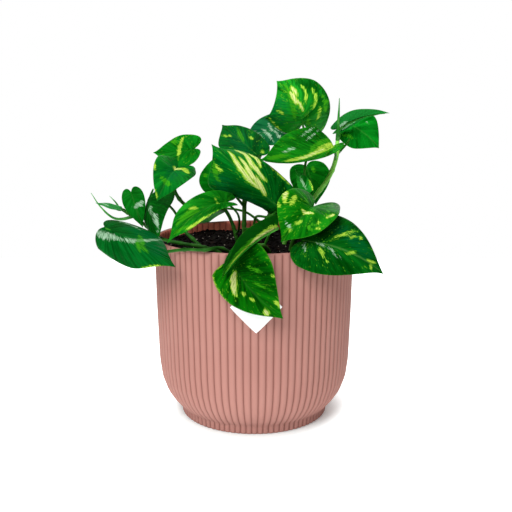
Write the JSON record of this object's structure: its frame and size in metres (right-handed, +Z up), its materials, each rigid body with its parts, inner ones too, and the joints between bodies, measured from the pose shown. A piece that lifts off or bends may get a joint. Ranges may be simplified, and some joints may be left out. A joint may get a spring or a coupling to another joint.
{
  "type": "potted golden pothos",
  "caption": "Potted trailing houseplant with heart-shaped variegated leaves on slim vines, in a round plastic pot with upright ribs.",
  "frame": {"origin": "centre of the pot's flat base, on the surface that it stands on", "axes": "+Z up along the pot's axis, -Y towards the front with the label, +X to the right seen from the front"},
  "size_m": [0.2663, 0.2438, 0.304],
  "materials": {
    "pot_plastic": "matte",
    "potting_mix": "rough",
    "label_paper": "satin",
    "leaf": "glossy",
    "vine": "satin"
  },
  "bodies": {
    "root": {"pot": "pot_plastic", "soil": "potting_mix", "label": "label_paper", "vine_right": "vine", "vine_middle": "vine", "vine_left": "vine", "vine_low_left": "vine", "vine_over_rim": "vine", "vine_rim_left": "vine", "vine_front": "vine", "vine_front_right": "vine", "vine_back": "vine", "leaf_top": "leaf", "leaf_top_folded": "leaf", "leaf_right_side": "leaf", "leaf_back_right": "leaf", "leaf_crown": "leaf", "leaf_crown_left": "leaf", "leaf_central": "leaf", "leaf_behind_central": "leaf", "leaf_lance": "leaf", "leaf_left_top": "leaf", "leaf_left_middle": "leaf", "leaf_left_hanging": "leaf", "leaf_low_left": "leaf", "leaf_outer_left": "leaf", "leaf_outer_lance": "leaf", "leaf_front_hanging": "leaf", "leaf_front_folded": "leaf", "leaf_front_spotted": "leaf", "leaf_right_low": "leaf", "leaf_back_dark": "leaf", "leaf_small_curled": "leaf", "leaf_back_over_rim": "leaf", "leaf_back_left": "leaf", "leaf_back_right_low": "leaf", "leaf_back_middle": "leaf", "leaf_back_upright": "leaf", "rolled_leaf_top": "vine", "rolled_leaf_left": "vine", "rolled_leaf_small": "vine"}
  },
  "joints": []
}
